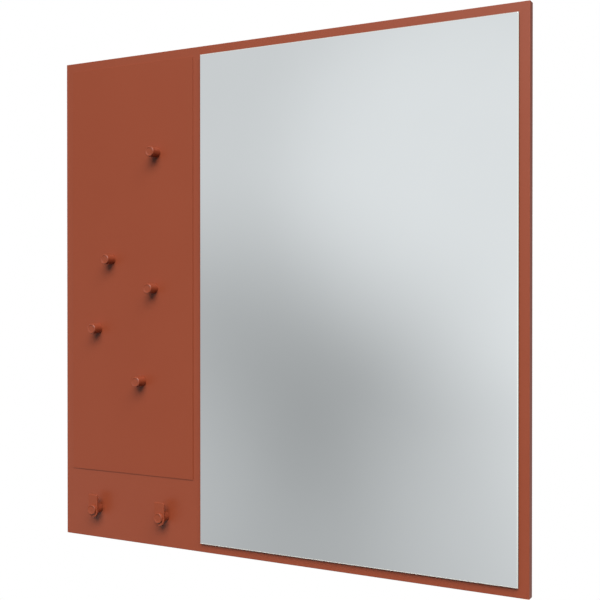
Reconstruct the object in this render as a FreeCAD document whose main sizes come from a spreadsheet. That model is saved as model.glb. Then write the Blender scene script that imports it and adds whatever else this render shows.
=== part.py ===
import FreeCAD, Part
import math
import operator
import os
import Sketcher

# Wall mirror with a magnetic notice board: a lacquered square panel that hangs on a wall rail.
# X runs to the right seen from the front, Z runs up, and the front looks towards -Y.
# The origin lies on the wall, in the middle of the wall rail's row of screw holes.

doc = FreeCAD.newDocument("wall_mirror_with_notice_board")

DRIVING_SIZES = {
    # lacquered fibreboard panel
    "panel_width": 696,
    "panel_height": 696,
    "panel_thickness": 12,
    "panel_corner_radius": 2.5,
    "panel_edge_radius": 1,
    "margin": 12.4,
    # pair of hanging rails, one on the wall and one in a recess of the panel's back
    "wall_gap": 2,
    "rail_drop": 85,
    "rail_length": 400,
    "rail_thickness": 2,
    "rail_web_height": 20,
    "rail_flange_height": 10,
    "rail_clearance": 0.4,
    "lift_travel": 12,
    "recess_room": 6,
    "recess_corner_radius": 5,
    "wall_hole_diameter": 5.5,
    "wall_hole_inset": 30,
    "wall_hole_count": 3,
    # pan-head screws of the panel's rail
    "rail_screw_diameter": 3.5,
    "rail_screw_head_diameter": 7,
    "rail_screw_head_height": 2,
    "rail_screw_head_edge": 0.8,
    "rail_screw_slot_width": 1,
    "rail_screw_slot_depth": 1,
    "rail_screw_inset": 20,
    "rail_screw_count": 5,
    "rail_screw_grip_share": 0.7,
    "screw_clearance": 0.1,
    # rubber bumpers behind the lower corners
    "bumper_diameter": 14,
    "bumper_taper": 1,
    "bumper_inset": 30,
    # mirror glass, its silvering and its tape
    "glass_thickness": 4,
    "glass_arris": 0.8,
    "glass_corner_radius": 2,
    "silvering_thickness": 0.2,
    "mirror_tape_thickness": 0.8,
    "mirror_tape_width": 25,
    "mirror_tape_inset": 40,
    "mirror_tape_count": 4,
    # steel notice board and its adhesive film
    "board_width": 213.6,
    "board_foot": 98,
    "board_gap": 14,
    "board_thickness": 0.8,
    "board_corner_radius": 1.5,
    "board_edge_radius": 0.2,
    "film_thickness": 0.3,
    "film_inset": 4,
    # hooks: peg, tongue plate, button and screw
    "hook_inset": 47.95,
    "hook_height": 43.4,
    "peg_diameter": 14,
    "peg_length": 12,
    "peg_rim": 0.3,
    "tongue_width": 16.5,
    "tongue_rise": 21.4,
    "tongue_drop": 11.6,
    "tongue_thickness": 3,
    "tongue_corner_radius": 2,
    "tongue_edge_radius": 0.8,
    "button_diameter": 14,
    "button_height": 3,
    "button_rim": 0.5,
    "spigot_diameter": 8,
    "spigot_depth": 3,
    "spigot_clearance": 0.1,
    "hook_screw_diameter": 5,
    "hook_screw_head_diameter": 10,
    "hook_screw_socket_width": 3,
    "hook_screw_socket_depth": 1.8,
    "hook_screw_grip_share": 0.75,
    # magnets: turned knob and core
    "knob_diameter": 14,
    "knob_length": 17,
    "knob_rim": 0.7,
    "knob_seat_edge": 0.4,
    "dish_land": 0.3,
    "dish_slope": 1.8,
    "dish_depth": 0.45,
    "core_diameter": 10,
    "core_height": 5,
    "core_recess": 0.2,
    "core_clearance": 0.1,
    # places of the magnets, as shares of the board's width and height from its lower left corner
    "magnet_1_across_share": 0.711,
    "magnet_1_up_share": 0.780,
    "magnet_2_across_share": 0.338,
    "magnet_2_up_share": 0.525,
    "magnet_3_across_share": 0.692,
    "magnet_3_up_share": 0.453,
    "magnet_4_across_share": 0.225,
    "magnet_4_up_share": 0.354,
    "magnet_5_across_share": 0.594,
    "magnet_5_up_share": 0.228,
}


class Size:
    """A number that remembers how the sheet of sizes works it out."""

    def __init__(self, number, text):
        self.number = number
        self.text = text

    def joined(self, sign, work, other, swapped=False):
        other = as_size(other)
        first, second = (other, self) if swapped else (self, other)
        return Size(work(first.number, second.number), f"({first.text} {sign} {second.text})")

    def __add__(self, other):
        return self.joined("+", operator.add, other)

    def __radd__(self, other):
        return self.joined("+", operator.add, other, swapped=True)

    def __sub__(self, other):
        return self.joined("-", operator.sub, other)

    def __rsub__(self, other):
        return self.joined("-", operator.sub, other, swapped=True)

    def __mul__(self, other):
        return self.joined("*", operator.mul, other)

    def __rmul__(self, other):
        return self.joined("*", operator.mul, other, swapped=True)

    def __truediv__(self, other):
        return self.joined("/", operator.truediv, other)

    def __rtruediv__(self, other):
        return self.joined("/", operator.truediv, other, swapped=True)

    def __neg__(self):
        return Size(-self.number, f"(-{self.text})")


def as_size(value):
    return value if isinstance(value, Size) else Size(value, str(value))


class Sheet:
    """The driving sizes, each a cell with an alias, read back as Size values."""

    def __init__(self, values):
        cells = doc.addObject("Spreadsheet::Sheet", "Sizes")
        for row, (name, value) in enumerate(values.items(), start=1):
            cells.set(f"A{row}", name)
            cells.set(f"B{row}", str(value))
            cells.setAlias(f"B{row}", name)
            setattr(self, name, Size(value, f"Sizes.{name}"))
        doc.recompute()


size = Sheet(DRIVING_SIZES)
NODES = []

# Turned pieces are drawn from their wall side outwards along +Y, so they are turned to face the front.
FACING_FRONT = FreeCAD.Rotation(FreeCAD.Vector(0, 0, 1), 180)

# A hexagon's corner lies this share of its width across flats from its middle.
HEXAGON_CORNER_SHARE = 3 ** -0.5


def bind(item, name, value):
    """Tie one property of an object to the sheet."""
    item.setExpression(name, as_size(value).text)


def stand(piece, x=0, y=0, z=0):
    """Place a piece in the object's frame."""
    for axis, value in (("x", x), ("y", y), ("z", z)):
        bind(piece, f"Placement.Base.{axis}", value)


def hand_in(piece, x=0, y=0, z=0):
    """Place a finished piece and count it as a node of its own."""
    stand(piece, x, y, z)
    NODES.append(piece)


def new_sketch(body, plane_role, purpose):
    """An empty sketch on one of the body's own origin planes."""
    plane = next(item for item in body.Origin.OriginFeatures if item.Role == plane_role)
    sketch = body.newObject("Sketcher::SketchObject", f"{body.Name}_{purpose}")
    sketch.AttachmentSupport = [(plane, "")]
    sketch.MapMode = "FlatFace"
    return sketch


def dimension(sketch, kind, where, value):
    """Add one dimension to a sketch and tie it to the sheet."""
    value = as_size(value)
    index = sketch.addConstraint(Sketcher.Constraint(kind, *where, value.number))
    bind(sketch, f"Constraints[{index}]", value)


def pin(sketch, curve, end, x, y):
    """Hold a point of a sketch at x, y: by a dimension from the origin, or on an axis where that is 0."""
    for kind, axis, value in (("DistanceX", -2, x), ("DistanceY", -1, y)):
        if as_size(value).number == 0:
            sketch.addConstraint(Sketcher.Constraint("PointOnObject", curve, end, axis))
        else:
            dimension(sketch, kind, (-1, 1, curve, end), value)


def vector(x, y):
    return FreeCAD.Vector(as_size(x).number, as_size(y).number, 0)


def outline(sketch, corners):
    """A closed outline of straight runs with every corner held in place."""
    first = sketch.GeometryCount
    last = first + len(corners) - 1
    points = [vector(x, y) for x, y in corners]
    for start, end in zip(points, points[1:] + points[:1]):
        sketch.addGeometry(Part.LineSegment(start, end))
    for line, (x, y) in enumerate(corners, start=first):
        before = last if line == first else line - 1
        sketch.addConstraint(Sketcher.Constraint("Coincident", before, 2, line, 1))
        pin(sketch, line, 1, x, y)


def rectangle(sketch, left, right, bottom, top):
    outline(sketch, [(left, bottom), (right, bottom), (right, top), (left, top)])


def circle(sketch, x, y, diameter):
    radius = as_size(diameter).number / 2
    curve = sketch.addGeometry(Part.Circle(vector(x, y), FreeCAD.Vector(0, 0, 1), radius))
    pin(sketch, curve, 3, x, y)
    dimension(sketch, "Diameter", (curve,), diameter)


def tongue_outline(sketch, half_width, low, high):
    """An upright outline with a square top at high and a round foot, whose centre lies at low."""
    round_foot = Part.Circle(vector(0, low), FreeCAD.Vector(0, 0, 1), half_width.number)
    foot = sketch.addGeometry(Part.ArcOfCircle(round_foot, math.pi, 2 * math.pi))
    right = sketch.addGeometry(Part.LineSegment(vector(half_width, low), vector(half_width, high)))
    top = sketch.addGeometry(Part.LineSegment(vector(half_width, high), vector(-half_width, high)))
    left = sketch.addGeometry(Part.LineSegment(vector(-half_width, high), vector(-half_width, low)))
    for joint, before, after in (
            ("Tangent", foot, right),
            ("Coincident", right, top),
            ("Coincident", top, left),
            ("Tangent", left, foot)):
        sketch.addConstraint(Sketcher.Constraint(joint, before, 2, after, 1))
    pin(sketch, foot, 3, 0, low)
    dimension(sketch, "Radius", (foot,), half_width)
    pin(sketch, top, 1, half_width, high)
    pin(sketch, top, 2, -half_width, high)


def hexagon(sketch, width):
    """A hexagon of that width across its flats, about the origin."""
    corner = width * HEXAGON_CORNER_SHARE
    outline(sketch, [
        (corner, 0),
        (corner / 2, width / 2),
        (-corner / 2, width / 2),
        (-corner, 0),
        (-corner / 2, -width / 2),
        (corner / 2, -width / 2),
    ])


def feature(body, kind, purpose, sketch):
    item = body.newObject(f"PartDesign::{kind}", f"{body.Name}_{purpose}")
    item.Profile = sketch
    return item


def pad(body, sketch, purpose, length):
    """Material from a sketch on the back plane towards the front."""
    item = feature(body, "Pad", purpose, sketch)
    bind(item, "Length", length)
    doc.recompute()
    return item


def pocket(body, sketch, purpose, depth, forwards=True):
    """A cut from a sketch, forwards along its normal or backwards; a depth of None cuts right through."""
    before = body.Shape.Volume
    item = feature(body, "Pocket", purpose, sketch)
    item.Reversed = forwards
    if depth is None:
        item.Type = "ThroughAll"
    else:
        bind(item, "Length", depth)
    doc.recompute()
    if body.Shape.Volume >= before:
        raise RuntimeError(f"{item.Name} cuts nothing")
    return item


def turned(body, corners):
    """A turned piece: its half section, radius across and length along, spun about its own axis."""
    section = new_sketch(body, "XY_Plane", "section")
    outline(section, corners)
    item = feature(body, "Revolution", "turning", section)
    item.ReferenceAxis = (section, ["V_Axis"])
    item.Angle = 360
    doc.recompute()
    body.Placement.Rotation = FACING_FRONT


def edges_of(item, wanted):
    return [f"Edge{n}" for n, edge in enumerate(item.Shape.Edges, start=1) if wanted(edge)]


def runs_through(edge):
    """True for an edge that runs from a sheet's back face to its front face."""
    return abs(edge.Vertexes[0].Y - edge.Vertexes[-1].Y) > edge.Length / 2


def along_outline(edge):
    """True for the edges of a sheet's outline, on both faces."""
    return not edge.isClosed() and not runs_through(edge)


def along_front(edge):
    """True for the edges of a sheet's outline on its front face."""
    return along_outline(edge) and round(edge.CenterOfMass.y, 6) < 0


def hole_mouth_at_back(edge):
    """True for the mouth of a round hole in a sheet's back face."""
    return edge.isClosed() and round(edge.CenterOfMass.y, 6) == 0


def dress(body, kind, purpose, wanted, amount):
    """A fillet or chamfer on the wanted edges of the body as it stands."""
    base = body.Tip
    item = body.newObject(f"PartDesign::{kind}", f"{body.Name}_{purpose}")
    item.Base = (base, edges_of(base, wanted))
    bind(item, "Radius" if kind == "Fillet" else "Size", amount)
    doc.recompute()


def new_body(label):
    return doc.addObject("PartDesign::Body", label)


def sheet_piece(label, width, height, thickness, corner_radius):
    """A rectangular sheet with rounded corners, drawn about its middle."""
    body = new_body(label)
    face = new_sketch(body, "XZ_Plane", "outline")
    rectangle(face, -width / 2, width / 2, -height / 2, height / 2)
    pad(body, face, "sheet", thickness)
    dress(body, "Fillet", "corners", runs_through, corner_radius)
    return body


def block(label, width, height, thickness):
    """A plain slab; its lower left corner and its front face are its own zero."""
    slab = doc.addObject("Part::Box", label)
    bind(slab, "Length", width)
    bind(slab, "Width", thickness)
    bind(slab, "Height", height)
    return slab


def group(label, pieces):
    """Identical small pieces, each its own solid, kept as one node."""
    gathered = doc.addObject("Part::Compound", label)
    gathered.Links = pieces
    hand_in(gathered)


def spread(count, reach):
    """Places of an even row about its middle; reach is the distance from its first piece to its last."""
    return [(index / (count - 1) - 1 / 2) * reach for index in range(int(count.number))]


# Planes of the assembly, as distances in front of the wall.
panel_front = size.wall_gap + size.panel_thickness
film_front = panel_front + size.film_thickness
board_front = film_front + size.board_thickness
silvering_back = panel_front + size.mirror_tape_thickness
glass_back = silvering_back + size.silvering_thickness

# Heights and places in the object's frame.
panel_top = size.rail_drop
panel_bottom = panel_top - size.panel_height
panel_middle = panel_top - size.panel_height / 2
panel_left = -size.panel_width / 2

# The two rails have one section: a web, a step and a flange that hooks behind the other rail's flange.
rail_step = size.rail_thickness + 2 * size.rail_clearance
rail_depth = 2 * size.rail_thickness + 3 * size.rail_clearance
panel_rail_height = size.rail_web_height + size.rail_flange_height
recess_depth = rail_depth - size.wall_gap
rail_screw_grip = size.rail_screw_grip_share * (size.panel_thickness - recess_depth)
rail_screw_places = spread(size.rail_screw_count, size.rail_length - 2 * size.rail_screw_inset)
wall_hole_places = spread(size.wall_hole_count, size.rail_length - 2 * size.wall_hole_inset)


def rail(label, hole_diameter, hole_places):
    """An extruded rail; the web's back is its zero plane and the flange stands up in front of it."""
    body = new_body(label)
    half_web = size.rail_web_height / 2
    flange_top = half_web + size.rail_flange_height
    flange_front = rail_step + size.rail_thickness
    section = new_sketch(body, "YZ_Plane", "section")
    outline(section, [
        (0, -half_web),
        (0, half_web),
        (-rail_step, half_web),
        (-rail_step, flange_top),
        (-flange_front, flange_top),
        (-flange_front, half_web - size.rail_thickness),
        (-size.rail_thickness, half_web - size.rail_thickness),
        (-size.rail_thickness, -half_web),
    ])
    bar = feature(body, "Pad", "bar", section)
    bar.SideType = "Symmetric"
    bind(bar, "Length", size.rail_length)
    doc.recompute()
    holes = new_sketch(body, "XZ_Plane", "holes")
    for place in hole_places:
        circle(holes, place, 0, hole_diameter)
    pocket(body, holes, "drilling", None)
    return body


# Wall rail: carries everything, fixed to the wall by screws through its row of holes.
wall_rail = rail("wall_rail", size.wall_hole_diameter, wall_hole_places)
hand_in(wall_rail)

# Panel rail: the same section turned upside down, its flange hooked behind the wall rail's flange.
rail_screw_hole = size.rail_screw_diameter + 2 * size.screw_clearance
panel_rail = rail("panel_rail", rail_screw_hole, rail_screw_places)
panel_rail.Placement.Rotation = FreeCAD.Rotation(FreeCAD.Vector(1, 0, 0), 180)
hand_in(panel_rail, y=-rail_depth, z=panel_rail_height)


def pan_head_screw(label, place):
    """A slotted pan-head screw; its zero plane is the seat under its head."""
    body = new_body(label)
    shank = size.rail_screw_diameter / 2
    head = size.rail_screw_head_diameter / 2
    head_edge = size.rail_screw_head_edge
    tip = size.rail_thickness + rail_screw_grip
    turned(body, [
        (0, -size.rail_screw_head_height),
        (head - head_edge, -size.rail_screw_head_height),
        (head, head_edge - size.rail_screw_head_height),
        (head, 0),
        (shank, 0),
        (shank, tip - shank),
        (0, tip),
    ])
    slot = new_sketch(body, "XZ_Plane", "slot")
    bind(slot, "AttachmentOffset.Base.z", size.rail_screw_head_height)
    rectangle(slot, -head, head, -size.rail_screw_slot_width / 2, size.rail_screw_slot_width / 2)
    pocket(body, slot, "slotting", size.rail_screw_slot_depth, forwards=False)
    stand(body, place, size.rail_thickness - rail_depth, panel_rail_height)
    return body


group("panel_rail_screws", [
    pan_head_screw(f"rail_screw_{number}", place) for number, place in enumerate(rail_screw_places, start=1)
])

# Panel: fibreboard, lacquered all over, with eased edges, a routed recess for the rails in its back,
# pilot holes for the rail's screws and countersunk holes for the screws of the hooks.
board_height = size.panel_height - size.margin - size.board_foot
board_left = panel_left + size.margin
board_bottom = panel_bottom + size.board_foot
board_middle_x = board_left + size.board_width / 2
hook_z = panel_bottom + size.hook_height
hook_places = [board_left + size.hook_inset, board_left + size.board_width - size.hook_inset]

back_panel = sheet_piece(
    "back_panel", size.panel_width, size.panel_height, size.panel_thickness, size.panel_corner_radius)
dress(back_panel, "Fillet", "edges", along_outline, size.panel_edge_radius)
recess = new_sketch(back_panel, "XZ_Plane", "recess")
recess_half = size.rail_length / 2 + size.recess_room
recess_bottom = -size.rail_web_height / 2 - size.lift_travel - size.recess_room
recess_top = panel_rail_height + size.rail_web_height / 2 + size.recess_room
rectangle(recess, -recess_half, recess_half, recess_bottom - panel_middle, recess_top - panel_middle)
pocket(back_panel, recess, "routing", recess_depth)


def recess_corner(edge):
    """True for the upright inner corners of the recess, which the router leaves round."""
    return runs_through(edge) and abs(edge.CenterOfMass.x) < (recess_half + size.recess_room).number


dress(back_panel, "Fillet", "recess_corners", recess_corner, size.recess_corner_radius)
pilots = new_sketch(back_panel, "XZ_Plane", "pilots")
for place in rail_screw_places:
    circle(pilots, place, panel_rail_height - panel_middle, rail_screw_hole)
pocket(back_panel, pilots, "pilot_drilling", recess_depth + rail_screw_grip + size.screw_clearance)
hook_holes = new_sketch(back_panel, "XZ_Plane", "hook_holes")
hook_screw_hole = size.hook_screw_diameter + 2 * size.screw_clearance
for place in hook_places:
    circle(hook_holes, place, hook_z - panel_middle, hook_screw_hole)
pocket(back_panel, hook_holes, "hook_drilling", None)
countersink = (size.hook_screw_head_diameter - hook_screw_hole) / 2
dress(back_panel, "Chamfer", "countersinks", hole_mouth_at_back, countersink)
hand_in(back_panel, y=-size.wall_gap, z=panel_middle)

# Bumpers: tapered rubber buttons stuck behind the lower corners, as thick as the panel's gap to the wall.
bumper_x = size.panel_width / 2 - size.bumper_inset
bumpers = []
for side, place in (("left", -bumper_x), ("right", bumper_x)):
    bumper = doc.addObject("Part::Cone", f"bumper_{side}")
    bind(bumper, "Radius1", size.bumper_diameter / 2)
    bind(bumper, "Radius2", size.bumper_diameter / 2 - size.bumper_taper)
    bind(bumper, "Height", size.wall_gap)
    bumper.Placement.Rotation = FreeCAD.Rotation(FreeCAD.Vector(1, 0, 0), -90)
    stand(bumper, place, -size.wall_gap, panel_bottom + size.bumper_inset)
    bumpers.append(bumper)
group("wall_bumpers", bumpers)

# Mirror: silvered float glass with ground edges, held on the panel by strips of foam tape.
mirror_width = size.panel_width - 2 * size.margin - size.board_width - size.board_gap
mirror_height = size.panel_height - 2 * size.margin
mirror_right = size.panel_width / 2 - size.margin
mirror_x = mirror_right - mirror_width / 2

tape_height = mirror_height - 2 * size.mirror_tape_inset
tape_reach = mirror_width - 2 * size.mirror_tape_inset - size.mirror_tape_width
tape_places = spread(size.mirror_tape_count, tape_reach)
tape_strips = []
for number, place in enumerate(tape_places, start=1):
    strip = block(f"tape_strip_{number}", size.mirror_tape_width, tape_height, size.mirror_tape_thickness)
    stand(strip, mirror_x + place - size.mirror_tape_width / 2, -silvering_back, panel_middle - tape_height / 2)
    tape_strips.append(strip)
group("mirror_tape", tape_strips)

silvering_width = mirror_width - 2 * size.glass_arris
silvering_height = mirror_height - 2 * size.glass_arris
silvering = block("mirror_silvering", silvering_width, silvering_height, size.silvering_thickness)
hand_in(silvering, mirror_x - silvering_width / 2, -glass_back, panel_middle - silvering_height / 2)

glass = sheet_piece("mirror_glass", mirror_width, mirror_height, size.glass_thickness, size.glass_corner_radius)
dress(glass, "Chamfer", "arris", along_outline, size.glass_arris)
hand_in(glass, mirror_x, -glass_back, panel_middle)

# Notice board: thin steel sheet in the panel's lacquer, bonded to the panel with adhesive film.
board_z = board_bottom + board_height / 2
film_width = size.board_width - 2 * size.film_inset
film_height = board_height - 2 * size.film_inset
film = block("notice_board_film", film_width, film_height, size.film_thickness)
hand_in(film, board_middle_x - film_width / 2, -film_front, board_z - film_height / 2)

board = sheet_piece(
    "notice_board", size.board_width, board_height, size.board_thickness, size.board_corner_radius)
dress(board, "Fillet", "edges", along_front, size.board_edge_radius)
hand_in(board, board_middle_x, -film_front, board_z)


# Hooks: each a turned peg on the panel, a tongue plate across its end and a button that clamps the plate.
peg_front = panel_front + size.peg_length
tongue_front = peg_front + size.tongue_thickness
hook_screw_grip = size.hook_screw_grip_share * (size.peg_length - size.spigot_depth)


def hook_peg(label, place):
    """A round peg with a threaded hole for the screw behind and a bore for the button's spigot in front."""
    body = new_body(label)
    outer = size.peg_diameter / 2
    thread = hook_screw_hole / 2
    bore = size.spigot_diameter / 2 + size.spigot_clearance
    bore_floor = size.peg_length - size.spigot_depth
    thread_floor = hook_screw_grip + size.screw_clearance
    turned(body, [
        (thread, 0),
        (outer - size.peg_rim, 0),
        (outer, size.peg_rim),
        (outer, size.peg_length),
        (bore, size.peg_length),
        (bore, bore_floor),
        (0, bore_floor),
        (0, thread_floor),
        (thread, thread_floor),
    ])
    hand_in(body, place, -panel_front, hook_z)


def upper_corner(edge):
    """True for the two corners at the top of a tongue, above the hole for the spigot."""
    return runs_through(edge) and round(edge.CenterOfMass.z, 6) > 0


def hook_tongue(label, place):
    """A flat tongue with a square top and a round foot; its hole for the spigot lies nearer the foot."""
    body = new_body(label)
    half = size.tongue_width / 2
    face = new_sketch(body, "XZ_Plane", "outline")
    tongue_outline(face, half, half - size.tongue_drop, size.tongue_rise)
    circle(face, 0, 0, size.spigot_diameter + 2 * size.spigot_clearance)
    pad(body, face, "plate", size.tongue_thickness)
    dress(body, "Fillet", "corners", upper_corner, size.tongue_corner_radius)
    dress(body, "Fillet", "edges", along_outline, size.tongue_edge_radius)
    hand_in(body, place, -peg_front, hook_z)


def hook_button(label, place):
    """A round button with a bevelled, dished face and a spigot through the plate into the peg."""
    body = new_body(label)
    outer = size.button_diameter / 2
    spigot = size.spigot_diameter / 2
    spigot_end = -size.tongue_thickness - size.spigot_depth + size.spigot_clearance
    dish = outer - size.button_rim - size.dish_land
    turned(body, [
        (0, spigot_end),
        (spigot, spigot_end),
        (spigot, 0),
        (outer, 0),
        (outer, size.button_height - size.button_rim),
        (outer - size.button_rim, size.button_height),
        (dish, size.button_height),
        (dish - size.dish_slope, size.button_height - size.dish_depth),
        (0, size.button_height - size.dish_depth),
    ])
    hand_in(body, place, -tongue_front, hook_z)


def hook_screw(label, place):
    """A countersunk screw with a hexagon socket, put in from the panel's back."""
    body = new_body(label)
    shank = size.hook_screw_diameter / 2
    head = size.hook_screw_head_diameter / 2
    length = size.panel_thickness + hook_screw_grip
    turned(body, [
        (0, 0),
        (head - size.screw_clearance, 0),
        (shank, head - size.screw_clearance - shank),
        (shank, length),
        (0, length),
    ])
    socket = new_sketch(body, "XZ_Plane", "socket")
    hexagon(socket, size.hook_screw_socket_width)
    pocket(body, socket, "broaching", size.hook_screw_socket_depth, forwards=False)
    hand_in(body, place, -size.wall_gap, hook_z)


for side, place in zip(("left", "right"), hook_places):
    hook_peg(f"hook_{side}_peg", place)
    hook_tongue(f"hook_{side}_tongue", place)
    hook_button(f"hook_{side}_button", place)
    hook_screw(f"hook_{side}_screw", place)


# Magnets: each a turned knob with a bevelled rim and a dished face, and a magnet core set in its back.
def magnet_knob(label, x, z):
    body = new_body(label)
    outer = size.knob_diameter / 2
    bore = size.core_diameter / 2 + size.core_clearance
    bore_floor = size.core_recess + size.core_height
    dish = outer - size.knob_rim - size.dish_land
    turned(body, [
        (bore, 0),
        (outer - size.knob_seat_edge, 0),
        (outer, size.knob_seat_edge),
        (outer, size.knob_length - size.knob_rim),
        (outer - size.knob_rim, size.knob_length),
        (dish, size.knob_length),
        (dish - size.dish_slope, size.knob_length - size.dish_depth),
        (0, size.knob_length - size.dish_depth),
        (0, bore_floor),
        (bore, bore_floor),
    ])
    hand_in(body, x, -board_front, z)


def magnet_core(label, x, z):
    core = doc.addObject("Part::Cylinder", label)
    bind(core, "Radius", size.core_diameter / 2)
    bind(core, "Height", size.core_height)
    core.Placement.Rotation = FreeCAD.Rotation(FreeCAD.Vector(1, 0, 0), 90)
    hand_in(core, x, -board_front - size.core_recess, z)


for magnet in ("magnet_1", "magnet_2", "magnet_3", "magnet_4", "magnet_5"):
    magnet_x = board_left + getattr(size, f"{magnet}_across_share") * size.board_width
    magnet_z = board_bottom + getattr(size, f"{magnet}_up_share") * board_height
    magnet_knob(f"{magnet}_knob", magnet_x, magnet_z)
    magnet_core(f"{magnet}_core", magnet_x, magnet_z)

# Every object has to be sound before anything is written.
doc.recompute()
for item in doc.Objects:
    if "Invalid" in item.State or "Error" in item.State:
        raise RuntimeError(f"{item.Label} failed: {item.State}")
for node in NODES:
    if node.Shape.isNull() or not node.Shape.isValid():
        raise RuntimeError(f"{node.Label} has no valid shape")

os.makedirs("parts", exist_ok=True)
for node in NODES:
    node.Shape.exportStep(f"parts/{node.Label}.step")
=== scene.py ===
import math

import bmesh
import bpy
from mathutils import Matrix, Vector


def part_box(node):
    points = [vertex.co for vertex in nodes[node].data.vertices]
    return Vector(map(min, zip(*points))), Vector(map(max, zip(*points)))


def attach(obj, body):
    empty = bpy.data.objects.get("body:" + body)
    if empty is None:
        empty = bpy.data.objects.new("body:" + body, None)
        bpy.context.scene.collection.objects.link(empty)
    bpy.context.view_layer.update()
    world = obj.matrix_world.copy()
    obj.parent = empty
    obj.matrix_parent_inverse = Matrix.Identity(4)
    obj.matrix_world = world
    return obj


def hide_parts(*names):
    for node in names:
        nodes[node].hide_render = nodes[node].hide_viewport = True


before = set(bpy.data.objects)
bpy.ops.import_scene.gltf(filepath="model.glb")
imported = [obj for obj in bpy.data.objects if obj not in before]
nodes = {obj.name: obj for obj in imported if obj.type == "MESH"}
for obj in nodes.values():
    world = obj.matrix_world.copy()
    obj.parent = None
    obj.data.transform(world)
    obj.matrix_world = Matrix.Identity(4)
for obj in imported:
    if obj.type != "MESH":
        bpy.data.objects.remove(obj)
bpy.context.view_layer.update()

scene = bpy.context.scene

# Wall rail and panel rail
# Two lengths of the same aluminium extrusion, a web with a flange set forward. One is screwed to
# the wall, the other to the panel's back, and the panel's flange drops behind the wall's flange.
MM = 0.001
METAL = {"Metallic": 1}


def linear(hex_colour):
    """An sRGB hex colour as linear RGBA."""
    shares = [int(hex_colour[i:i + 2], 16) / 255 for i in (0, 2, 4)]
    return [s / 12.92 if s <= 0.04045 else ((s + 0.055) / 1.055) ** 2.4 for s in shares] + [1]


def add(tree, kind, inputs=None, output=None, **settings):
    """Adds a node with its settings, gives each input a value or a link, and returns one output."""
    made = tree.nodes.new(kind)
    for name, value in settings.items():
        setattr(made, name, value)
    for name, value in (inputs or {}).items():
        socket = made.inputs[name] if isinstance(name, int) else next(
            s for s in made.inputs if s.name == name and s.enabled)
        if isinstance(value, bpy.types.NodeSocket):
            tree.links.new(value, socket)
        else:
            socket.default_value = value
    if output:
        return made.outputs[output]
    return next((s for s in made.outputs if s.enabled), None)


def new_finish(name):
    """A new material, its node tree, and the place on the piece, in metres, that its patterns follow."""
    finish = bpy.data.materials.new(name)
    finish.use_nodes = True
    tree = finish.node_tree
    tree.nodes.clear()
    return finish, tree, add(tree, "ShaderNodeTexCoord", output="Object")


def noise(tree, place, size, detail):
    """A cloudy pattern from 0 to 1 with clouds of this size."""
    return add(tree, "ShaderNodeTexNoise", {"Vector": place, "Scale": 1 / size, "Detail": detail})


def mixed(tree, pattern, colours):
    """A colour that goes from the first to the second of a pair as the pattern goes from 0 to 1."""
    first, second = colours
    return add(tree, "ShaderNodeMix", {"Factor": pattern, "A": first, "B": second}, data_type="RGBA")


def between(tree, pattern, ends):
    """A number that goes from the first to the second of a pair as the pattern goes from 0 to 1."""
    first, second = ends
    return add(tree, "ShaderNodeMapRange", {"Value": pattern, "To Min": first, "To Max": second})


def coat(tree, tint, grain, colours, roughness, depth, more=None):
    """The surface: its colour follows the tint, its gloss and relief the grain, with more sockets set."""
    relief = add(tree, "ShaderNodeBump", {"Height": grain, "Distance": depth})
    surface = add(tree, "ShaderNodeBsdfPrincipled", {
        "Base Color": mixed(tree, tint, colours), "Roughness": between(tree, grain, roughness),
        "Normal": relief, **(more or {})})
    add(tree, "ShaderNodeOutputMaterial", {"Surface": surface})


def dress(finish, *names):
    """Gives the named CAD pieces this finish."""
    for name in names:
        for slot in nodes[name].material_slots:
            slot.material = finish


# Mill-finish aluminium: pale grey metal with faint lines from the die, all along the extrusion.
ALUMINIUM_DULL = linear("B9BCBE")
ALUMINIUM_LIGHT = linear("D3D5D6")
ALUMINIUM_ROUGHNESS = (0.42, 0.28)
DIE_LINE_WIDTH = 0.9 * MM
DIE_LINE_LENGTH = 120 * MM
DIE_LINE_DEPTH = 0.004 * MM

aluminium, tree, place = new_finish("mill_finish_aluminium")
along = add(tree, "ShaderNodeVectorMath", {
    0: place, 1: (1 / DIE_LINE_LENGTH, 1 / DIE_LINE_WIDTH, 1 / DIE_LINE_WIDTH)}, operation="MULTIPLY")
lines = noise(tree, along, size=1, detail=3)
coat(tree, lines, lines, (ALUMINIUM_DULL, ALUMINIUM_LIGHT), ALUMINIUM_ROUGHNESS, DIE_LINE_DEPTH, METAL)
dress(aluminium, "wall_rail", "panel_rail")

# Rail screws and hook screws
# Zinc-plated steel screws, cold headed: five pan heads hold the panel's rail, and one socket head
# from behind pulls each hook against the panel.


def clouded(name, size, detail, colours, roughness, depth, more=None):
    """A finish whose colour, gloss and relief all follow one cloudy pattern."""
    finish, tree, place = new_finish(name)
    cloud = noise(tree, place, size, detail)
    coat(tree, cloud, cloud, colours, roughness, depth, more)
    return finish


# Bright zinc: a cool grey plating, slightly cloudy, that mutes the steel's shine.
ZINC_CLOUD = linear("A9AFB5")
ZINC_LIGHT = linear("C9CED3")
zinc = clouded(
    "zinc_plated_steel", size=2 * MM, detail=4, colours=(ZINC_CLOUD, ZINC_LIGHT),
    roughness=(0.38, 0.24), depth=0.01 * MM, more=METAL)
dress(zinc, "panel_rail_screws", "hook_left_screw", "hook_right_screw")

# Back panel
# A square board of 12 mm fibreboard with eased edges, sprayed all over with rust-red lacquer. It
# carries the mirror, the notice board and the hooks, and has a milled recess for the rails behind.
RUST_DEEP = linear("924226")
RUST_LIGHT = linear("96462A")
SPRAY_DRIFT_SIZE = 90 * MM


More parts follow.
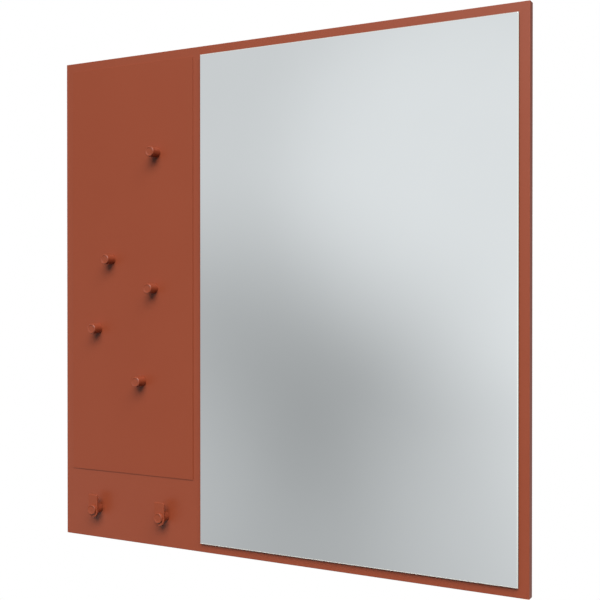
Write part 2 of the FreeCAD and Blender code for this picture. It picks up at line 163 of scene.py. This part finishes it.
def satin_lacquer(name, sheen, peel_size, peel_depth, roughness):
    """Sprayed satin lacquer: even colour, a soft sheen, and a fine orange peel that breaks the sheen."""
    finish, tree, place = new_finish(name)
    drift = noise(tree, place, SPRAY_DRIFT_SIZE, detail=3)
    peel = noise(tree, place, peel_size, detail=2)
    coat(tree, drift, peel, (RUST_DEEP, RUST_LIGHT), roughness, peel_depth, {"Specular IOR Level": sheen})
    return finish


# On fibreboard the lacquer keeps a slight peel, drawn at 3 mm because the real 1 mm would not show.
panel_lacquer = satin_lacquer(
    "satin_lacquer_on_fibreboard", sheen=0.53, peel_size=3 * MM, peel_depth=0.012 * MM,
    roughness=(0.40, 0.48))

# The board is sawn square, so it is drawn with sharper corners and a smaller easing of its front edge
# than its solid has. Points within WELD become one, and so do faces that turn by less than SAME_PLANE.
WELD = 0.001 * MM
SAME_PLANE = math.radians(0.1)
PANEL_SOLID_CORNER = 2.5 * MM
PANEL_SOLID_EDGE = 1 * MM
PANEL_EDGE = 0.5 * MM


def square_off(node, name, corner, edge, new_edge):
    """A solid's shape with its corner arcs drawn out to points and its front edge eased by a new width."""
    shape = nodes[node].data.copy()
    low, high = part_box(node)
    middle, reach = (low + high) / 2, (high - low) / 2
    for point in shape.vertices:
        # How far the point lies inside the outline, from its nearest side or from a corner's arc.
        offset = point.co - middle
        insets = [reach.x - abs(offset.x), reach.z - abs(offset.z)]
        from_arc_middle = [max(corner - inset, 0) for inset in insets]
        in_corner = min(from_arc_middle) > 0
        inset = corner - math.hypot(*from_arc_middle) if in_corner else min(insets)
        # A point of the eased edge goes to the same place on the new easing.
        depth = point.co.y - low.y
        if max(inset, depth) <= edge + WELD:
            inset = inset * new_edge / edge
            point.co.y = low.y + depth * new_edge / edge
        # A point of a corner goes straight out from the arc's middle to the square corner's side.
        if in_corner:
            outwards = (corner - inset) / max(from_arc_middle)
            insets = [corner - length * outwards for length in from_arc_middle]
        else:
            insets[insets.index(min(insets))] = inset
        point.co.x = middle.x + math.copysign(reach.x - insets[0], offset.x)
        point.co.z = middle.z + math.copysign(reach.z - insets[1], offset.z)
    # Points that now meet and faces in one plane are joined, so that no sliver is left. The solid's
    # own shading no longer fits, so every face is shaded flat.
    shape.attributes.remove(shape.attributes["custom_normal"])
    form = bmesh.new()
    form.from_mesh(shape)
    bmesh.ops.remove_doubles(form, verts=form.verts, dist=WELD)
    bmesh.ops.dissolve_degenerate(form, edges=form.edges, dist=WELD)
    bmesh.ops.dissolve_limit(form, verts=form.verts, edges=form.edges, angle_limit=SAME_PLANE)
    bmesh.ops.triangulate(form, faces=form.faces)
    form.to_mesh(shape)
    form.free()
    shape.shade_flat()
    piece = bpy.data.objects.new(name, shape)
    scene.collection.objects.link(piece)
    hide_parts(node)
    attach(piece, "hanging_panel")
    return piece


panel = square_off(
    "back_panel", "panel_with_square_corners", PANEL_SOLID_CORNER, PANEL_SOLID_EDGE, PANEL_EDGE)
panel.material_slots[0].material = panel_lacquer

# Wall bumpers
# Two small tapered pads of soft rubber, stuck to the panel's back near its lower corners, which
# keep the panel upright and off the wall.

# Moulded rubber: near black, matt, with a fine grain from the mould.
RUBBER_DEEP = linear("161617")
RUBBER_WORN = linear("262627")
rubber = clouded(
    "moulded_rubber", size=0.6 * MM, detail=2, colours=(RUBBER_DEEP, RUBBER_WORN),
    roughness=(0.7, 0.9), depth=0.03 * MM, more={"IOR": 1.52})
dress(rubber, "wall_bumpers")

# Mirror
# A 4 mm float glass sheet with a ground arris, silvered and painted behind, held 1 mm off the panel
# by strips of foam tape.

# Foam tape: off-white closed-cell foam, matt, with cells too small to see one by one.
FOAM_SHADE = linear("C8C4BB")
FOAM_PALE = linear("DCD9D2")
FOAM_ROUGHNESS = (0.8, 0.9)
FOAM_CELL = 0.5 * MM
FOAM_CELL_DEPTH = 0.05 * MM

foam, tree, place = new_finish("closed_cell_foam")
cells = add(tree, "ShaderNodeTexVoronoi", {"Vector": place, "Scale": 1 / FOAM_CELL})
coat(tree, cells, cells, (FOAM_SHADE, FOAM_PALE), FOAM_ROUGHNESS, FOAM_CELL_DEPTH)
dress(foam, "mirror_tape")

# Mirror backing paint over the silver: grey-green, matt, with the roller's faint stipple.
BACKING_DEEP = linear("6E766F")
BACKING_LIGHT = linear("7F8781")
backing = clouded(
    "mirror_backing_paint", size=1.5 * MM, detail=3, colours=(BACKING_DEEP, BACKING_LIGHT),
    roughness=(0.55, 0.7), depth=0.02 * MM)
dress(backing, "mirror_silvering")

# Silvered float glass: a clear, faintly cool reflection in front, a ground arris that shines as a pale line
# round it, and in its edge the green of the glass, painted darker as the shade of the panel that a real edge
# reflects. The way a face turns tells which it is.
SILVER_HAZE = linear("EDF2F4")
SILVER_COOL = linear("EFF4F6")
ARRIS_PALE = linear("F4F8F3")
# The edge's colour is the glass's own green, painted dark as the shaded panel that it would reflect.
GLASS_GREEN_AND_PAINTED_SHADE = linear("4F6158")
HAZE_SIZE = 60 * MM
POLISHED_ROUGHNESS = (0.0, 0.03)
GROUND_ROUGHNESS = (0.12, 0.18)
FRONT_FACING = -0.95
ARRIS_FACING = -0.3

silvered, tree, place = new_finish("silvered_float_glass")
haze = noise(tree, place, HAZE_SIZE, detail=3)
facing = add(tree, "ShaderNodeSeparateXYZ", {
    "Vector": add(tree, "ShaderNodeTexCoord", output="Normal")}, output="Y")
front = add(tree, "ShaderNodeMath", {0: facing, 1: FRONT_FACING}, operation="LESS_THAN")
silvered_side = add(tree, "ShaderNodeMath", {0: facing, 1: ARRIS_FACING}, operation="LESS_THAN")
silver = mixed(tree, haze, (SILVER_HAZE, SILVER_COOL))
# The edge gets the dark green with its painted shade, the arris the pale reflecting colour.
rim_with_painted_shade = mixed(tree, silvered_side, (GLASS_GREEN_AND_PAINTED_SHADE, ARRIS_PALE))
tone = mixed(tree, front, (rim_with_painted_shade, silver))
polished = between(tree, haze, POLISHED_ROUGHNESS)
ground = between(tree, haze, GROUND_ROUGHNESS)
gloss = add(tree, "ShaderNodeMix", {"Factor": front, "A": ground, "B": polished})
surface = add(tree, "ShaderNodeBsdfPrincipled", {
    "Base Color": tone, "Metallic": silvered_side, "Roughness": gloss})
add(tree, "ShaderNodeOutputMaterial", {"Surface": surface})

# The glass is cut square too, and its arris is drawn a little wider than its solid's.
GLASS_SOLID_CORNER = 2 * MM
GLASS_SOLID_ARRIS = 0.8 * MM
GLASS_ARRIS = 1.2 * MM

glass = square_off(
    "mirror_glass", "glass_with_square_corners", GLASS_SOLID_CORNER, GLASS_SOLID_ARRIS, GLASS_ARRIS)
glass.material_slots[0].material = silvered

# Notice board
# A thin sheet of steel with eased corners, lacquered like the panel and bonded to it with a film of
# adhesive, so that magnets hold anywhere on it.

# Adhesive film: milky, matt, slightly uneven.
FILM_SHADE = linear("BDB8AB")
FILM_PALE = linear("CFCBC0")
film = clouded(
    "adhesive_film", size=8 * MM, detail=3, colours=(FILM_SHADE, FILM_PALE),
    roughness=(0.5, 0.65), depth=0.03 * MM)
dress(film, "notice_board_film")

# On the flat steel the lacquer lies smoother, with a finer peel and less sheen.
board_lacquer = satin_lacquer(
    "satin_lacquer_on_sheet_steel", sheen=0.46, peel_size=2.4 * MM, peel_depth=0.008 * MM,
    roughness=(0.42, 0.48))
dress(board_lacquer, "notice_board")

# Hooks
# Each hook is a turned peg, a tongue-shaped plate in front of it and a round button that covers the
# plate's seat: turned and milled metal, lacquered with the panel.

# On the hooks' small faces the peel is finer still, and the lacquer a little duller.
hook_lacquer = satin_lacquer(
    "satin_lacquer_on_hooks", sheen=0.45, peel_size=1.2 * MM, peel_depth=0.006 * MM,
    roughness=(0.46, 0.56))
for side in ("left", "right"):
    dress(hook_lacquer, f"hook_{side}_peg", f"hook_{side}_tongue", f"hook_{side}_button")

# Magnets
# Five turned knobs with a rim and a shallow dish in front, lacquered with the panel. A round magnet
# is let into the back of each.
MAGNET_COUNT = 5

# On the turned knobs the same fine peel lies over a smoother face, so that their rims catch the light.
knob_lacquer = satin_lacquer(
    "satin_lacquer_on_knobs", sheen=0.5, peel_size=1.2 * MM, peel_depth=0.006 * MM,
    roughness=(0.38, 0.46))

# Nickel plating on the magnets: warm bright grey with faint rubbing marks.
NICKEL_RUBBED = linear("B7B1A7")
NICKEL_BRIGHT = linear("CFCAC1")
nickel = clouded(
    "nickel_plated_magnet", size=1.5 * MM, detail=4, colours=(NICKEL_RUBBED, NICKEL_BRIGHT),
    roughness=(0.3, 0.15), depth=0.005 * MM, more=METAL)
for number in range(1, MAGNET_COUNT + 1):
    dress(knob_lacquer, f"magnet_{number}_knob")
    dress(nickel, f"magnet_{number}_core")

# Studio
# A round pale floor as far below the mirror as a room's floor, a white surround, soft light from the
# front, from the side and from behind, and the grey room that the mirror faces.
FLOOR_DROP = 1.6
FLOOR_REACH = 2.4
FLOOR_SIDES = 96
FADE_START_SHARE = 0.45
FLOOR_PALE = linear("DAD9D7")
FLOOR_BOUNCE = linear("3A3938")

bpy.ops.mesh.primitive_circle_add(
    vertices=FLOOR_SIDES, radius=FLOOR_REACH, fill_type="NGON", location=(0, 0, -FLOOR_DROP))
floor = bpy.context.object
floor.name = "floor"


def either(tree, first, second):
    """The larger of two shares, so 1 where either is 1."""
    return add(tree, "ShaderNodeMath", {0: first, 1: second}, operation="MAXIMUM")


# Painted floor: pale where it is seen, straight or in metal and glass, and dark for scattered light,
# so that little of it comes back up. Towards its rim it fades into the surround.
painted, tree, place = new_finish("pale_painted_floor")
path = tree.nodes.new("ShaderNodeLightPath").outputs
shiny = either(tree, path["Is Glossy Ray"], path["Is Transmission Ray"])
seen = either(tree, path["Is Camera Ray"], shiny)
tone = mixed(tree, seen, (FLOOR_BOUNCE, FLOOR_PALE))
matt = add(tree, "ShaderNodeBsdfDiffuse", {"Color": tone})
clear = add(tree, "ShaderNodeBsdfTransparent")
distance = add(tree, "ShaderNodeVectorMath", {0: place}, operation="LENGTH")
fade = add(tree, "ShaderNodeMapRange", {
    "Value": distance, "From Min": FADE_START_SHARE * FLOOR_REACH, "From Max": FLOOR_REACH},
    interpolation_type="SMOOTHSTEP")
surface = add(tree, "ShaderNodeMixShader", {0: fade, 1: matt, 2: clear})
add(tree, "ShaderNodeOutputMaterial", {"Surface": surface})
floor.data.materials.append(painted)


def towards(azimuth, elevation):
    """The direction at an angle round from the front, to the left, and an angle up, in degrees."""
    a, e = math.radians(azimuth), math.radians(elevation)
    return Vector((-math.sin(a) * math.cos(e), -math.cos(a) * math.cos(e), math.sin(e)))


# The surround: white behind the object. What mirror, metal and lacquer show of the room is grey, with
# soft patches of light and shade, and nowhere darker than ROOM_DARKEST. Only a trace of light comes
# from the walls. Each patch has its azimuth, elevation and reach in degrees, and what it adds to the
# grey in its middle.
WHITE = 1
WALL_LIGHT = 0.03
ROOM_GREY = 0.12
ROOM_DARKEST = 0.2
ROOM_PATCHES = [
    (18.7, 5.6, 48, 0.565),  # the pale wall that the mirror faces
    (46.8, -16.4, 22.8, 0.261),  # light low at the wall's left
    (32.5, -18.5, 27.5, -0.31),  # shade low in the wall's middle
    (17.4, 6.5, 15, 0.14),  # a lighter spot in the wall
    (8, -20, 25, 0.25),  # light low in front
    (10, 34, 17, 1.5),  # a lamp above the wall
    (58, -16, 24, 0.9),  # a lamp low at the left
    (56, 19, 23, -0.24),  # shade high at the left
    (-42, -16, 48, 0.42),  # light low at the right
    (-74, 6, 32, 0.68),  # light far to the right, which the glass's edge shows
    (120, 60, 30, 0.7),  # light high at the left, behind the object
    (-150, -12, 45, 0.4),  # light low at the right, behind the object
]
scene.world = bpy.data.worlds.new("studio")
scene.world.use_nodes = True
tree = scene.world.node_tree
tree.nodes.clear()
direction = add(tree, "ShaderNodeTexCoord", output="Generated")
room = ROOM_GREY
for azimuth, elevation, reach, strength in ROOM_PATCHES:
    nearness = add(tree, "ShaderNodeVectorMath", {
        0: direction, 1: towards(azimuth, elevation)}, operation="DOT_PRODUCT")
    patch = add(tree, "ShaderNodeMapRange", {
        "Value": nearness, "From Min": math.cos(math.radians(reach)), "From Max": 1,
        "To Min": 0, "To Max": strength}, interpolation_type="SMOOTHERSTEP")
    room = add(tree, "ShaderNodeMath", {0: room, 1: patch}, operation="ADD")
room = add(tree, "ShaderNodeMath", {0: room, 1: ROOM_DARKEST, 2: ROOM_DARKEST}, operation="SMOOTH_MAX")
path = tree.nodes.new("ShaderNodeLightPath").outputs
shown = add(tree, "ShaderNodeMix", {"Factor": path["Is Glossy Ray"], "A": WALL_LIGHT, "B": room})
seen = either(tree, path["Is Camera Ray"], path["Is Transmission Ray"])
level = add(tree, "ShaderNodeMix", {"Factor": seen, "A": shown, "B": WHITE})
background = add(tree, "ShaderNodeBackground", {"Color": level, "Strength": 1})
add(tree, "ShaderNodeOutputWorld", {"Surface": background})

panel_low, panel_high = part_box("back_panel")
panel_middle = (panel_low + panel_high) / 2


def hang_lamp(kind, name, azimuth, elevation, distance, level):
    """A lamp that faces the panel's middle, with the energy of a sun that lights a white card to a level."""
    lamp = bpy.data.objects.new(name, bpy.data.lights.new(name, kind))
    lamp.location = panel_middle + distance * towards(azimuth, elevation)
    lamp.rotation_mode = "QUATERNION"
    lamp.rotation_quaternion = (-towards(azimuth, elevation)).to_track_quat("-Z", "Y")
    lamp.data.energy = level * math.pi
    scene.collection.objects.link(lamp)
    return lamp.data


# The front and the back light are so far off that they light the panel evenly, and wide, so soft. As
# suns they light alike from any distance.
SUN_DISTANCE = 3
FRONT_WIDTH = math.radians(40)
BACK_WIDTH = math.radians(70)

front_light = hang_lamp("SUN", "front_light", azimuth=-13, elevation=40, distance=SUN_DISTANCE, level=0.90)
front_light.angle = FRONT_WIDTH
back_light = hang_lamp("SUN", "back_light", azimuth=140, elevation=16, distance=SUN_DISTANCE, level=1.1)
back_light.angle = BACK_WIDTH

# The side light is a softbox near enough that the panel's right side gets more of it than its left.
# Its energy is the power that it sends out in all, so it grows with the square of its distance.
SIDE_DISTANCE = 4.5
SIDE_SIZE = 2.4

side_light = hang_lamp("AREA", "side_light", azimuth=-48, elevation=46, distance=SIDE_DISTANCE, level=0.56)
side_light.energy *= math.pi * SIDE_DISTANCE ** 2
side_light.size = SIDE_SIZE

# Camera
# It stands to the right of the mirror, level with its middle, as for the photograph.
CAMERA_PLACE = (0.6579, -1.1580, -0.2552)
CAMERA_AZIMUTH = -28.159
CAMERA_ELEVATION = 0.354
LENS = 59.73
SENSOR_WIDTH = 36

camera = bpy.data.objects.new("camera", bpy.data.cameras.new("camera"))
camera.data.lens = LENS
camera.data.sensor_width = SENSOR_WIDTH
camera.location = CAMERA_PLACE
camera.rotation_mode = "QUATERNION"
camera.rotation_quaternion = (-towards(CAMERA_AZIMUTH, CAMERA_ELEVATION)).to_track_quat("-Z", "Y")
scene.collection.objects.link(camera)
scene.camera = camera
scene.view_settings.view_transform = "Standard"
